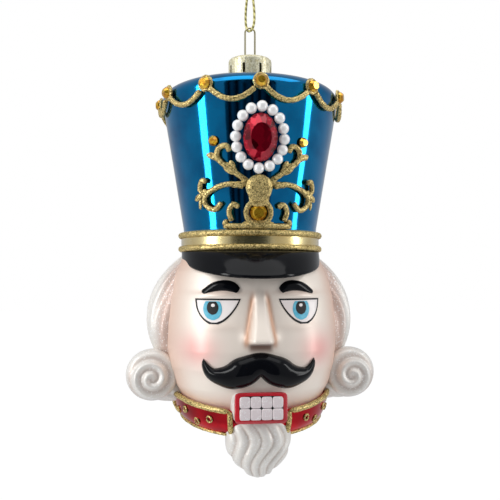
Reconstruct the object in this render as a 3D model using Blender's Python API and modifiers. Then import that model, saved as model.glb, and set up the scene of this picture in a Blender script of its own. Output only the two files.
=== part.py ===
"""Nutcracker head hanging ornament: a mould-blown glass shell with glued trim, a metal cap,
a spring wire loop and a gold thread.

All lengths are in metres. The origin is where the thread bears, at the inner top of the wire loop.
The face looks along -Y, +X is on the viewer's right and +Z is up. The hat is a turned shape round
the Z axis, so its trim is placed by an angle or an arc length round the axis, a height, and a lift
off the glass.
"""
import math

import bmesh
import bpy
from mathutils import Matrix, Vector

MM = 0.001

# ---------------------------------------------------------------- driving dimensions
CLEARANCE = 0.3 * MM          # gap kept between two pieces that touch
GLASS_WALL = 1.2 * MM

WIRE_D = 0.6 * MM             # spring wire of the hanging loop
LOOP_WIDTH = 3.3 * MM         # between the centres of the loop's two legs
LOOP_RISE = 10.6 * MM         # inner top of the loop above the cap
LEG_LENGTH = 20.0 * MM        # legs below the cap's top face
LEG_STRAIGHT = 5.0 * MM       # straight part of the legs below the cap, before they splay

CAP_D = 14.5 * MM
CAP_H = 8.0 * MM
CAP_WALL = 0.5 * MM
CAP_EDGE = 0.9 * MM           # rounding of the cap's top edge
CAP_SLOTS = 8
CAP_SLOT_W = 0.9 * MM
CAP_SLOT_H = 5.6 * MM

NECK_PLAY = 0.45 * MM         # cap skirt to glass neck
NECK_WALL = 1.1 * MM

HAT_TOP_D = 58.8 * MM
HAT_BASE_D = 44.2 * MM
HAT_H = 46.8 * MM             # rim plane down to the band
HAT_SHOULDER = 3.6 * MM       # rounding of the hat's rim
HAT_DOME = 3.1 * MM           # rise of the hat's lid
BAND_H = 6.7 * MM
BAND_PROUD = 0.7 * MM
BAND_LINE_H = 1.9 * MM        # glitter line on each edge of the band
BAND_LINE_T = 0.9 * MM

VISOR_REACH = 10.6 * MM
VISOR_DROP = 7.4 * MM
VISOR_T = 1.6 * MM
VISOR_HALF_ANGLE = math.radians(84)

HEAD_W = 69.8 * MM
HEAD_DEPTH = 60.0 * MM
HEAD_H = 55.8 * MM
HEAD_DROP = 21.9 * MM         # bottom of the band down to the middle of the head
JAW_W = 31.0 * MM
JAW_DEPTH = 31.0 * MM
JAW_H = 33.0 * MM
BEARD_W = 19.6 * MM
BEARD_DEPTH = 14.0 * MM
BEARD_H = 31.0 * MM
CURL_D = 17.4 * MM
CURL_L = 15.0 * MM
COLLAR_D = 49.0 * MM
COLLAR_H = 11.0 * MM
COLLAR_TILT = math.radians(5)  # the collar dips towards the front

STONE_COUNT = 11
STONE_D = 3.7 * MM
STONE_H = 1.3 * MM
FLANK_STONE_D = 3.2 * MM
FLANK_ANGLE = math.radians(30.7)
CREST_STONE_D = 5.3 * MM
CREST_STONE_H = 1.9 * MM
GEM_W = 10.4 * MM
GEM_L = 14.4 * MM
GEM_H = 3.4 * MM
PEARL_COUNT = 16
PEARL_D = 2.9 * MM

GLITTER_D = 1.4 * MM          # round section of the piped glitter lines
PAD_T = 0.5 * MM              # glitter dot that a rim stone is pressed on
PAD_RIM = 0.6 * MM
SWAG_DROP = 5.0 * MM

BOSS_W = 7.4 * MM
BOSS_T = 2.2 * MM
CREST_OFFSET = 0.0 * MM       # the crest's middle line, round the hat from the face's

THREAD_D = 0.8 * MM
KNOT_D = 2.6 * MM
KNOT_RISE = 16.0 * MM         # knot above the loop

# ---------------------------------------------------------------- places that follow from them
CAP_TOP_Z = -LOOP_RISE
CAP_RIM_Z = CAP_TOP_Z - CAP_H
NECK_R = CAP_D / 2 - CAP_WALL - NECK_PLAY
BORE_R = NECK_R - NECK_WALL
NECK_TOP_Z = CAP_TOP_Z - CAP_WALL - 2 * CLEARANCE
LID_R = HAT_TOP_D / 2 - HAT_SHOULDER
RIM_Z = CAP_RIM_Z - CLEARANCE - HAT_DOME
BAND_TOP_Z = RIM_Z - HAT_H
BAND_BOTTOM_Z = BAND_TOP_Z - BAND_H
HEAD_Z = BAND_BOTTOM_Z - HEAD_DROP
JAW_Z = HEAD_Z - 18.6 * MM
JAW_Y = -(HEAD_DEPTH / 2 - 2.0 * MM) + JAW_DEPTH / 2
BEARD_Z = HEAD_Z - 32.4 * MM
BEARD_Y = -HEAD_DEPTH / 2 + 8.6 * MM
CURL_Z = HEAD_Z - 18.2 * MM
CURL_X = HEAD_W / 2 - 2.3 * MM
CURL_Y = -4.0 * MM
COLLAR_Z = HEAD_Z - 27.6 * MM
PEAK_Z = RIM_Z - HAT_SHOULDER
GEM_Z = RIM_Z - 19.7 * MM
FLANK_Z = RIM_Z - 20.3 * MM
CREST_STONE_Z = BAND_TOP_Z + 5.0 * MM
BAR_Z = BAND_TOP_Z + GLITTER_D / 2 + CLEARANCE
RING_R = CREST_STONE_D / 2 + CLEARANCE + GLITTER_D / 2
BOSS_TOP = GEM_Z - GEM_L / 2 - PEARL_D - 4 * CLEARANCE
BOSS_BOTTOM = CREST_STONE_Z + RING_R - GLITTER_D / 2
BOSS_L = BOSS_TOP - BOSS_BOTTOM
BOSS_Z = (BOSS_TOP + BOSS_BOTTOM) / 2
SCROLL_Z = BOSS_TOP - 2.8 * MM
WALL_SLOPE = (HAT_TOP_D - HAT_BASE_D) / 2 / (HAT_H - HAT_SHOULDER)
WALL_TILT = math.atan(WALL_SLOPE)


# ---------------------------------------------------------------- scene and materials
def clear_scene():
    for found in list(bpy.data.objects):
        bpy.data.objects.remove(found)


def new_collection(name):
    made = bpy.data.collections.new(name)
    bpy.context.scene.collection.children.link(made)
    return made


def material(name, colour, roughness, metallic=0.0):
    made = bpy.data.materials.new(name)
    made.use_nodes = True
    shader = made.node_tree.nodes["Principled BSDF"]
    shader.inputs["Base Color"].default_value = (*colour, 1.0)
    shader.inputs["Roughness"].default_value = roughness
    shader.inputs["Metallic"].default_value = metallic
    made.diffuse_color = (*colour, 1.0)
    return made


# ---------------------------------------------------------------- mesh helpers
def add_object(name, data, collection):
    made = bpy.data.objects.new(name, data)
    collection.objects.link(made)
    return made


def evaluated_mesh(source):
    """The mesh of an object with its modifiers and curve bevel worked out."""
    bpy.context.view_layer.update()
    graph = bpy.context.evaluated_depsgraph_get()
    return bpy.data.meshes.new_from_object(source.evaluated_get(graph))


def baked(source, weld=True):
    """Turns an object into a plain mesh object of the same name, with loose caps welded on."""
    mesh = evaluated_mesh(source)
    name = source.name
    collection = source.users_collection[0]
    place = source.matrix_world.copy()
    bpy.data.objects.remove(source)
    mesh.transform(place)
    if weld:
        shape = bmesh.new()
        shape.from_mesh(mesh)
        bmesh.ops.remove_doubles(shape, verts=shape.verts, dist=1e-7)
        bmesh.ops.recalc_face_normals(shape, faces=shape.faces)
        shape.to_mesh(mesh)
        shape.free()
    return add_object(name, mesh, collection)


def from_bmesh(name, shape, collection):
    mesh = bpy.data.meshes.new(name)
    bmesh.ops.recalc_face_normals(shape, faces=shape.faces)
    shape.to_mesh(mesh)
    shape.free()
    return add_object(name, mesh, collection)


def combine(base, others, operation):
    """Joins other solids to a base, or cuts them from it, one after another."""
    for other in others:
        modifier = base.modifiers.new(operation, "BOOLEAN")
        modifier.operation = operation
        modifier.solver = "EXACT"
        modifier.object = other
        base = baked(base, weld=False)
        bpy.data.objects.remove(other)
    return base


def turned(name, profile, segments, collection, closed=False):
    """A turned solid from (radius, height) points that run down its outer side."""
    shape = bmesh.new()
    points = [shape.verts.new((radius, 0.0, height)) for radius, height in profile]
    for first, second in zip(points, points[1:]):
        shape.edges.new((first, second))
    if closed:
        shape.edges.new((points[-1], points[0]))
    mesh = bpy.data.meshes.new(name)
    shape.to_mesh(mesh)
    shape.free()
    made = add_object(name, mesh, collection)
    screw = made.modifiers.new("turn", "SCREW")
    screw.steps = segments
    screw.render_steps = segments
    screw.use_merge_vertices = True
    screw.merge_threshold = 1e-6
    return baked(made)


def arc(centre, radius, start, end, steps):
    """Points of an arc in the (radius, height) plane, angles in degrees from the radius axis."""
    points = []
    for step in range(steps + 1):
        angle = math.radians(start + (end - start) * step / steps)
        points.append((centre[0] + radius * math.cos(angle), centre[1] + radius * math.sin(angle)))
    return points


def tube(name, points, diameter, collection, resolution=1, sizes=None, cyclic=False):
    """A round bar along points, made as a bevelled curve and then a mesh."""
    data = bpy.data.curves.new(name, "CURVE")
    data.dimensions = "3D"
    data.bevel_depth = diameter / 2
    data.bevel_resolution = resolution
    data.use_fill_caps = not cyclic
    spline = data.splines.new("POLY")
    spline.points.add(len(points) - 1)
    spline.use_cyclic_u = cyclic
    for index, point in enumerate(points):
        spline.points[index].co = (*point, 1.0)
        spline.points[index].radius = sizes[index] if sizes else 1.0
    return baked(add_object(name, data, collection))


def smooth_route(points, per_span):
    """Catmull-Rom points through a short list of 2-D or 3-D points."""
    knots = [Vector(point) for point in points]
    knots = [2 * knots[0] - knots[1]] + knots + [2 * knots[-1] - knots[-2]]
    route = []
    for start in range(1, len(knots) - 2):
        before, here, there, after = knots[start - 1:start + 3]
        for step in range(per_span):
            t = step / per_span
            bend = (2 * before - 5 * here + 4 * there - after) * t * t
            curl = (3 * here - before - 3 * there + after) * t ** 3
            route.append((2 * here + (there - before) * t + bend + curl) / 2)
    route.append(knots[-2])
    return route


def ellipsoid(name, centre, sizes, segments, rings, collection):
    shape = bmesh.new()
    bmesh.ops.create_uvsphere(shape, u_segments=segments, v_segments=rings, radius=0.5)
    bmesh.ops.scale(shape, vec=Vector(sizes), verts=shape.verts)
    bmesh.ops.translate(shape, vec=Vector(centre), verts=shape.verts)
    return from_bmesh(name, shape, collection)


# ---------------------------------------------------------------- the hat's wall as a surface
def wall_start():
    """Radius and height where the rounded rim runs into the straight wall."""
    return (LID_R + HAT_SHOULDER * math.cos(WALL_TILT),
            PEAK_Z - HAT_SHOULDER * math.sin(WALL_TILT))


def hat_radius(height):
    start_r, start_z = wall_start()
    if height > start_z:
        above = min(height - PEAK_Z, HAT_SHOULDER)
        return LID_R + math.sqrt(HAT_SHOULDER ** 2 - above ** 2)
    share = (start_z - height) / (start_z - BAND_TOP_Z)
    return start_r + (HAT_BASE_D / 2 - start_r) * share


def hat_tilt(height):
    """How far the wall's normal looks down, as an angle."""
    if height > wall_start()[1]:
        return -math.asin(min((height - PEAK_Z) / HAT_SHOULDER, 1.0))
    return WALL_TILT


def hat_normal(angle, height):
    tilt = hat_tilt(height)
    return Vector((math.cos(tilt) * math.sin(angle), -math.cos(tilt) * math.cos(angle),
                   -math.sin(tilt)))


def on_hat(angle, height, lift):
    radius = hat_radius(height)
    foot = Vector((radius * math.sin(angle), -radius * math.cos(angle), height))
    return foot + hat_normal(angle, height) * lift


def on_hat_flat(across, height, lift):
    """A point from an arc length round the hat instead of an angle."""
    return on_hat(across / hat_radius(height), height, lift)


def facing_out(angle, height, lift):
    """Placement that stands a piece on the hat: its +Z looks out and its +Y looks up."""
    out = hat_normal(angle, height)
    side = Vector((math.cos(angle), math.sin(angle), 0.0))
    up = out.cross(side)
    place = Matrix((side, up, out)).transposed().to_4x4()
    place.translation = on_hat(angle, height, lift)
    return place


# ---------------------------------------------------------------- blown glass shell
def hat_profile(inset, bore, top, bottom):
    """Outline of the hat, from the neck to the axis at the bottom, moved in by the wall."""
    lid = LID_R
    dome = [(lid * share, RIM_Z - inset + HAT_DOME * (1 - share ** 2))
            for share in (bore / lid, 0.45, 0.72)]
    start = 90.0
    stop = -math.degrees(WALL_TILT)
    shoulder = arc((lid, PEAK_Z), HAT_SHOULDER - inset, start, stop, 6)
    wall_low = (HAT_BASE_D / 2 - inset, BAND_TOP_Z)
    band_r = HAT_BASE_D / 2 + BAND_PROUD - inset
    band = [(band_r, BAND_TOP_Z), (band_r, BAND_BOTTOM_Z)]
    return [(0.0, top), (bore, top)] + dome + shoulder + [wall_low] + band + [
        (band_r - 1.5 * MM, bottom), (0.0, bottom)]


def hat_solid(name, inset, bore, top, segments, collection):
    profile = hat_profile(inset, bore, top, BAND_BOTTOM_Z - 2 * MM)
    return turned(name, profile, segments, collection)


def visor_solid(collection):
    """A bent sheet that runs out and down from the band, thickened both ways."""
    shape = bmesh.new()
    bmesh.ops.create_grid(shape, x_segments=22, y_segments=3, size=0.5)
    root = HAT_BASE_D / 2 + BAND_PROUD - GLASS_WALL * 0.8
    for vert in shape.verts:
        angle = vert.co.x * 2 * VISOR_HALF_ANGLE
        out = vert.co.y + 0.5
        share = max(math.cos(angle * math.pi / 2 / VISOR_HALF_ANGLE), 0.1) ** 0.7
        radius = root + (VISOR_REACH + GLASS_WALL) * share * out
        drop = VISOR_DROP * share * out
        vert.co = (radius * math.sin(angle), -radius * math.cos(angle),
                   BAND_BOTTOM_Z - VISOR_T * 0.7 - drop)
    made = from_bmesh("visor", shape, collection)
    thick = made.modifiers.new("thickness", "SOLIDIFY")
    thick.thickness = VISOR_T
    thick.offset = 0.0
    return baked(made)


def face_y(x, z, proud=0.0):
    """Front of the head or the jaw, whichever stands further out, at a place on the face."""
    head = 1 - (x / (HEAD_W / 2)) ** 2 - ((z - HEAD_Z) / (HEAD_H / 2)) ** 2
    jaw = 1 - (x / (JAW_W / 2)) ** 2 - ((z - JAW_Z) / (JAW_H / 2)) ** 2
    front = 0.0
    if head > 0:
        front = min(front, -HEAD_DEPTH / 2 * math.sqrt(head))
    if jaw > 0:
        front = min(front, JAW_Y - JAW_DEPTH / 2 * math.sqrt(jaw))
    return front - proud


def face_strand(name, points, diameter, sizes, proud, collection):
    """A raised roll that follows the face, such as a brow or half of the moustache."""
    route = smooth_route(points, 2)
    spots = [(x, face_y(x, HEAD_Z + z, proud), HEAD_Z + z) for x, z in route]
    spread = smooth_route([(size, 0.0) for size in sizes], 2)
    return tube(name, spots, diameter, collection, resolution=2, sizes=[s[0] for s in spread])


def face_relief(collection):
    """Nose, brows, moustache and mouth block, moulded proud of the face."""
    pieces = []
    nose = bmesh.new()
    bmesh.ops.create_cube(nose, size=1.0)
    for vert in nose.verts:
        low = vert.co.z < 0
        front = vert.co.y < 0
        width = 8.3 * MM if low else 3.2 * MM
        height = HEAD_Z - 5.8 * MM if low else HEAD_Z + 11.5 * MM
        tip = HEAD_DEPTH / 2 + (5.2 * MM if low else -2.4 * MM)
        vert.co = (vert.co.x * width, -tip if front else -HEAD_DEPTH / 2 + 9 * MM, height)
    bmesh.ops.bevel(nose, geom=nose.edges[:], offset=1.1 * MM, offset_type="OFFSET", segments=1,
                    affect="EDGES", profile=0.5, material=-1)
    pieces.append(from_bmesh("nose", nose, collection))
    for side in (-1, 1):
        brow = [(side * 4.6 * MM, 10.0 * MM), (side * 10.5 * MM, 12.6 * MM),
                (side * 16.0 * MM, 10.6 * MM)]
        pieces.append(face_strand(f"brow{side}", brow, 2.8 * MM, (0.8, 1.2, 0.7), 0.2 * MM,
                                  collection))
        lip = [(side * 1.2 * MM, -12.4 * MM), (side * 6.4 * MM, -14.2 * MM),
               (side * 12.0 * MM, -13.6 * MM), (side * 16.6 * MM, -9.6 * MM)]
        pieces.append(face_strand(f"moustache{side}", lip, 7.0 * MM, (0.85, 1.15, 0.9, 0.35),
                                  0.4 * MM, collection))
    mouth = bmesh.new()
    bmesh.ops.create_cube(mouth, size=1.0)
    bmesh.ops.scale(mouth, vec=(16.4 * MM, 10.0 * MM, 9.4 * MM), verts=mouth.verts)
    bmesh.ops.translate(mouth, vec=(0.0, JAW_Y - JAW_DEPTH / 2 + 5.0 * MM, JAW_Z - 5.6 * MM),
                        verts=mouth.verts)
    bmesh.ops.bevel(mouth, geom=mouth.edges[:], offset=1.0 * MM, offset_type="OFFSET", segments=1,
                    affect="EDGES", profile=0.5, material=-1)
    pieces.append(from_bmesh("mouth", mouth, collection))
    return pieces


def curl_solid(side, collection):
    """A rolled lock at the side of the face, its axis looking forward."""
    shape = bmesh.new()
    bmesh.ops.create_cone(shape, cap_ends=True, segments=24, radius1=CURL_D / 2,
                          radius2=CURL_D / 2, depth=CURL_L)
    rims = [edge for edge in shape.edges if abs(edge.verts[0].co.z - edge.verts[1].co.z) < 1e-6]
    bmesh.ops.bevel(shape, geom=rims, offset=2.4 * MM, offset_type="OFFSET", segments=2,
                    affect="EDGES", profile=0.5, material=-1)
    turn = Matrix.Rotation(math.radians(90), 4, "X")
    bmesh.ops.transform(shape, matrix=turn, verts=shape.verts)
    bmesh.ops.translate(shape, vec=(side * CURL_X, CURL_Y, CURL_Z), verts=shape.verts)
    return from_bmesh(f"curl{side}", shape, collection)


def hair_roll(collection):
    """The roll of hair that runs round the back of the head from curl to curl."""
    points = []
    for step in range(15):
        angle = math.pi * step / 14
        points.append((CURL_X * math.cos(angle),
                       CURL_Y + (HEAD_DEPTH / 2 - 3.0 * MM - CURL_Y) * math.sin(angle), CURL_Z))
    return tube("hair_roll", points, CURL_D * 0.94, collection, resolution=3)


def collar_solid(name, inset, rise, collection):
    """The collar with the rounded end of the glass under it, and its top risen into the head."""
    radius = COLLAR_D / 2 - inset
    half = COLLAR_H / 2
    profile = [(0.0, half + rise), (radius - 2.0 * MM, half + rise), (radius, 0.2 * half),
               (radius - 1.2 * MM, -half * 0.55)]
    profile += arc((radius - 5.2 * MM, -half * 0.62), 4.0 * MM - inset * 0.2, 0, -90, 3)
    profile.append((0.0, -half * 0.62 - 4.6 * MM + inset))
    made = turned(name, profile, 30, collection)
    tilt = Matrix.Rotation(COLLAR_TILT, 4, "X")
    made.data.transform(Matrix.Translation((0.0, 0.0, COLLAR_Z)) @ tilt)
    return made


def glass_shell(parts):
    scratch = parts
    outer = hat_solid("glass_shell", 0.0, NECK_R, NECK_TOP_Z, 44, scratch)
    solids = [
        ellipsoid("head", (0, 0, HEAD_Z), (HEAD_W, HEAD_DEPTH, HEAD_H), 36, 18, scratch),
        ellipsoid("jaw", (0, JAW_Y, JAW_Z), (JAW_W, JAW_DEPTH, JAW_H), 18, 10, scratch),
        ellipsoid("beard", (0, BEARD_Y, BEARD_Z), (BEARD_W, BEARD_DEPTH, BEARD_H), 16, 10, scratch),
        ellipsoid("nape", (0, 0, HEAD_Z - 20.6 * MM), (HEAD_W * 0.8, HEAD_DEPTH * 0.83, CURL_D),
                  24, 10, scratch),
        collar_solid("collar", 0.0, 0.0, scratch),
        hair_roll(scratch),
        curl_solid(-1, scratch),
        curl_solid(1, scratch),
        visor_solid(scratch),
    ]
    solids += face_relief(scratch)
    outer = combine(outer, solids, "UNION")
    wall = 2 * GLASS_WALL
    hollow = hat_solid("hollow", GLASS_WALL, BORE_R, NECK_TOP_Z + MM, 32, scratch)
    spaces = [
        ellipsoid("head_space", (0, 0, HEAD_Z), (HEAD_W - wall, HEAD_DEPTH - wall, HEAD_H - wall),
                  24, 12, scratch),
        ellipsoid("jaw_space", (0, JAW_Y, JAW_Z), (JAW_W - wall, JAW_DEPTH - wall, JAW_H - wall),
                  14, 8, scratch),
        ellipsoid("beard_space", (0, BEARD_Y, BEARD_Z),
                  (BEARD_W - wall, BEARD_DEPTH - wall, BEARD_H - wall), 12, 8, scratch),
        collar_solid("collar_space", GLASS_WALL, 3.1 * MM, scratch),
    ]
    hollow = combine(hollow, spaces, "UNION")
    outer = combine(outer, [hollow], "DIFFERENCE")
    return outer


# ---------------------------------------------------------------- cap, wire and thread
def cap(parts):
    """A drawn metal cap: a top with two wire holes and a skirt slit all round."""
    outer_r = CAP_D / 2
    inner_r = outer_r - CAP_WALL
    edge = arc((outer_r - CAP_EDGE, CAP_TOP_Z - CAP_EDGE), CAP_EDGE, 90, 0, 3)
    profile = [(0.0, CAP_TOP_Z)] + edge + [(outer_r, CAP_RIM_Z), (inner_r, CAP_RIM_Z)]
    profile += [(inner_r, CAP_TOP_Z - CAP_EDGE), (inner_r - 0.4 * MM, CAP_TOP_Z - CAP_WALL)]
    profile.append((0.0, CAP_TOP_Z - CAP_WALL))
    made = turned("cap", profile, 36, parts)
    cutters = []
    for side in (-1, 1):
        shape = bmesh.new()
        hole_r = WIRE_D / 2 + CLEARANCE
        bmesh.ops.create_cone(shape, cap_ends=True, segments=12, radius1=hole_r, radius2=hole_r,
                              depth=4 * CAP_WALL)
        bmesh.ops.translate(shape, vec=(side * LOOP_WIDTH / 2, 0.0, CAP_TOP_Z), verts=shape.verts)
        cutters.append(from_bmesh("wire_hole", shape, parts))
    for slot in range(CAP_SLOTS):
        shape = bmesh.new()
        bmesh.ops.create_cube(shape, size=1.0)
        bmesh.ops.scale(shape, vec=(CAP_SLOT_W, 3 * CAP_EDGE, CAP_SLOT_H), verts=shape.verts)
        bmesh.ops.translate(shape, vec=(0.0, -outer_r, CAP_RIM_Z + CAP_SLOT_H / 2 - CLEARANCE),
                            verts=shape.verts)
        turn = Matrix.Rotation(math.radians(360) * (slot + 0.5) / CAP_SLOTS, 4, "Z")
        bmesh.ops.transform(shape, matrix=turn, verts=shape.verts)
        cutters.append(from_bmesh("slot", shape, parts))
    return combine(made, cutters, "DIFFERENCE")


def hanger_wire(parts):
    """The loop and its two spring legs, which splay towards the neck's bore below the cap."""
    half = LOOP_WIDTH / 2
    crown_z = WIRE_D / 2 - half
    reach = BORE_R - WIRE_D / 2 - CLEARANCE
    foot_z = CAP_TOP_Z - LEG_LENGTH
    leg = [(reach, foot_z), (reach - 0.1 * MM, foot_z + 4 * MM),
           ((half + reach) / 2, (foot_z + 3 * MM + CAP_TOP_Z - LEG_STRAIGHT) / 2),
           (half, CAP_TOP_Z - LEG_STRAIGHT), (half, CAP_TOP_Z), (half, crown_z - 2 * MM)]
    crown = [(half * math.cos(turn), crown_z + half * math.sin(turn))
             for turn in [math.pi * step / 10 for step in range(11)]]
    far_leg = [(-x, z) for x, z in reversed(leg)]
    points = [(x, 0.0, z) for x, z in leg + crown + far_leg]
    return tube("hanger_wire", points, WIRE_D, parts, resolution=2)


def thread_route():
    """The doubled thread, from one strand's end below the knot, round the loop's crown, and back."""
    knot_z = KNOT_RISE - KNOT_D / 2 - CLEARANCE
    bottom = -THREAD_D / 2 - CLEARANCE
    half = (
        (0.5, 0.0, knot_z / MM),
        (0.9, -0.15, 11.0),
        (1.35, -0.5, 6.5),
        (1.35, -1.1, 3.0),
        (1.1, -1.35, 1.0),
        (0.6, -0.8, bottom / MM + 0.3),
    )
    middle = ((0.0, 0.0, bottom / MM),)
    back = tuple((-x, -y, z) for x, y, z in reversed(half))
    return [(x * MM, y * MM, z * MM) for x, y, z in half + middle + back]


def hanging_thread(parts):
    return tube("hanging_thread", smooth_route(thread_route(), 3), THREAD_D, parts, resolution=2)


def thread_knot(parts):
    """An overhand knot in the doubled thread, as a rounded lump."""
    return ellipsoid("thread_knot", (0, 0, KNOT_RISE), (KNOT_D, KNOT_D * 0.85, KNOT_D), 12, 8, parts)


# ---------------------------------------------------------------- stones, gem and pearls
def flat_back_stone(name, width, length, height, angle, level, lift, parts, segments=10):
    """A flat-backed faceted stone: a low girdle, a crown that slopes in, and a flat table."""
    shape = bmesh.new()
    bmesh.ops.create_cone(shape, cap_ends=True, segments=segments, radius1=0.5, radius2=0.5,
                          depth=0.3)
    bmesh.ops.translate(shape, vec=(0, 0, 0.15), verts=shape.verts)
    top = [face for face in shape.faces if face.normal.z > 0.9]
    bmesh.ops.inset_region(shape, faces=top, thickness=0.2, use_even_offset=False)
    table = [face for face in shape.faces if face.normal.z > 0.9 and face.calc_area() > 0.1]
    lifted = {vert for face in table for vert in face.verts}
    bmesh.ops.translate(shape, vec=(0, 0, 0.7), verts=list(lifted))
    bmesh.ops.scale(shape, vec=(width, length, height), verts=shape.verts)
    bmesh.ops.transform(shape, matrix=facing_out(angle, level, lift), verts=shape.verts)
    return from_bmesh(name, shape, parts)


def stones(parts):
    made = []
    pad_lift = 2 * CLEARANCE + PAD_T
    for index in range(STONE_COUNT):
        angle = math.tau * index / STONE_COUNT
        made.append(flat_back_stone(f"rim_stone_{index + 1:02d}", STONE_D, STONE_D, STONE_H, angle,
                                    PEAK_Z, pad_lift, parts))
    for name, angle in (("flank_stone_left", -FLANK_ANGLE), ("flank_stone_right", FLANK_ANGLE)):
        made.append(flat_back_stone(name, FLANK_STONE_D, FLANK_STONE_D, STONE_H, angle, FLANK_Z,
                                    CLEARANCE, parts))
    angle = CREST_OFFSET / hat_radius(CREST_STONE_Z)
    made.append(flat_back_stone("crest_stone", CREST_STONE_D, CREST_STONE_D, CREST_STONE_H, angle,
                                CREST_STONE_Z, CLEARANCE, parts, 12))
    return made


def ruby_gem(parts):
    lift = CLEARANCE + (GEM_W / 2) ** 2 / hat_radius(GEM_Z) / 2
    return flat_back_stone("ruby_gem", GEM_W, GEM_L, GEM_H, 0.0, GEM_Z, lift, parts, 16)


def pearls(parts):
    """Beads at even steps along an ellipse round the gem, each standing on the glass."""
    half_w = GEM_W / 2 + CLEARANCE + PEARL_D / 2
    half_l = GEM_L / 2 + CLEARANCE + PEARL_D / 2
    fine = [(half_w * math.sin(turn), half_l * math.cos(turn))
            for turn in [math.tau * step / 720 for step in range(721)]]
    walked = [0.0]
    for first, second in zip(fine, fine[1:]):
        walked.append(walked[-1] + math.dist(first, second))
    made = []
    for index in range(PEARL_COUNT):
        target = walked[-1] * (index + 0.1) / PEARL_COUNT
        nearest = min(range(721), key=lambda step: abs(walked[step] - target))
        across, up = fine[nearest]
        centre = on_hat_flat(across, GEM_Z + up, CLEARANCE + PEARL_D / 2)
        made.append(ellipsoid(f"pearl_{index + 1:02d}", centre, (PEARL_D,) * 3, 8, 6, parts))
    return made


# ---------------------------------------------------------------- piped glitter trim
def pad(name, angle, parts):
    """The glitter dot under a rim stone."""
    shape = bmesh.new()
    bmesh.ops.create_cone(shape, cap_ends=True, segments=12, radius1=STONE_D / 2 + PAD_RIM,
                          radius2=STONE_D / 2 + PAD_RIM - 0.15 * MM, depth=PAD_T)
    place = facing_out(angle, PEAK_Z, CLEARANCE + PAD_T / 2)
    bmesh.ops.transform(shape, matrix=place, verts=shape.verts)
    return from_bmesh(name, shape, parts)


def swag_point(start, share, lift):
    """A point of the strand that hangs between two rim stones, a share of the way along it."""
    height = PEAK_Z - SWAG_DROP * (1 - (2 * share - 1) ** 2)
    return on_hat(start + share * math.tau / STONE_COUNT, height, lift)


def swag_share(distance):
    """The share of the way along a strand where it is this far from its stone's middle."""
    share = 0.0
    while (swag_point(0.0, share, 0.0) - swag_point(0.0, 0.0, 0.0)).length < distance:
        share += 0.001
    return share


def swag(index, parts):
    """A dot of glitter with the strand that hangs from it to just short of the next dot."""
    start = math.tau * index / STONE_COUNT
    first = swag_share(STONE_D / 2 + CLEARANCE)
    last = 1 - swag_share(STONE_D / 2 + PAD_RIM + CLEARANCE)
    count = 8
    points = []
    for place in range(count + 1):
        share = first + (last - first) * place / count
        points.append(swag_point(start, share, CLEARANCE + GLITTER_D / 2))
    strand = tube(f"swag_{index + 1:02d}", points, GLITTER_D, parts)
    return combine(strand, [pad("dot", start, parts)], "UNION")


def stroke(name, route, parts, side=1, diameter=GLITTER_D, sizes=None):
    """A piped line through (across, height) points given from the crest's middle."""
    points = smooth_route(route, 3)
    spots = [on_hat_flat(CREST_OFFSET + side * x, z, CLEARANCE + diameter / 2) for x, z in points]
    return tube(name, spots, diameter, parts, sizes=sizes)


def crest_column(parts):
    """The boss, the column under it, the ring round the crest stone and the bar at the foot."""
    angle = CREST_OFFSET / hat_radius(BOSS_Z)
    shape = bmesh.new()
    bmesh.ops.create_uvsphere(shape, u_segments=16, v_segments=8, radius=0.5)
    bmesh.ops.scale(shape, vec=(BOSS_W, BOSS_L, BOSS_T), verts=shape.verts)
    place = facing_out(angle, BOSS_Z, CLEARANCE + BOSS_T / 2 + 0.25 * MM)
    bmesh.ops.transform(shape, matrix=place, verts=shape.verts)
    boss = from_bmesh("crest_column", shape, parts)
    ring_route = []
    for step in range(20):
        turn = math.tau * step / 20
        ring_route.append(on_hat_flat(CREST_OFFSET + RING_R * math.cos(turn),
                                      CREST_STONE_Z + RING_R * math.sin(turn),
                                      CLEARANCE + GLITTER_D / 2))
    ring = tube("ring", ring_route, GLITTER_D, parts, cyclic=True)
    foot = CREST_STONE_Z + RING_R
    column = stroke("column", [(0.0, (BOSS_Z + foot) / 2), (0.0, (BOSS_Z + 3 * foot) / 4),
                               (0.0, foot)], parts)
    bar = stroke("bar", [(-8.6 * MM, BAR_Z), (-4 * MM, BAR_Z), (0.0, BAR_Z), (4 * MM, BAR_Z),
                         (8.6 * MM, BAR_Z)], parts)
    return combine(boss, [column, ring, bar], "UNION")


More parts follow.
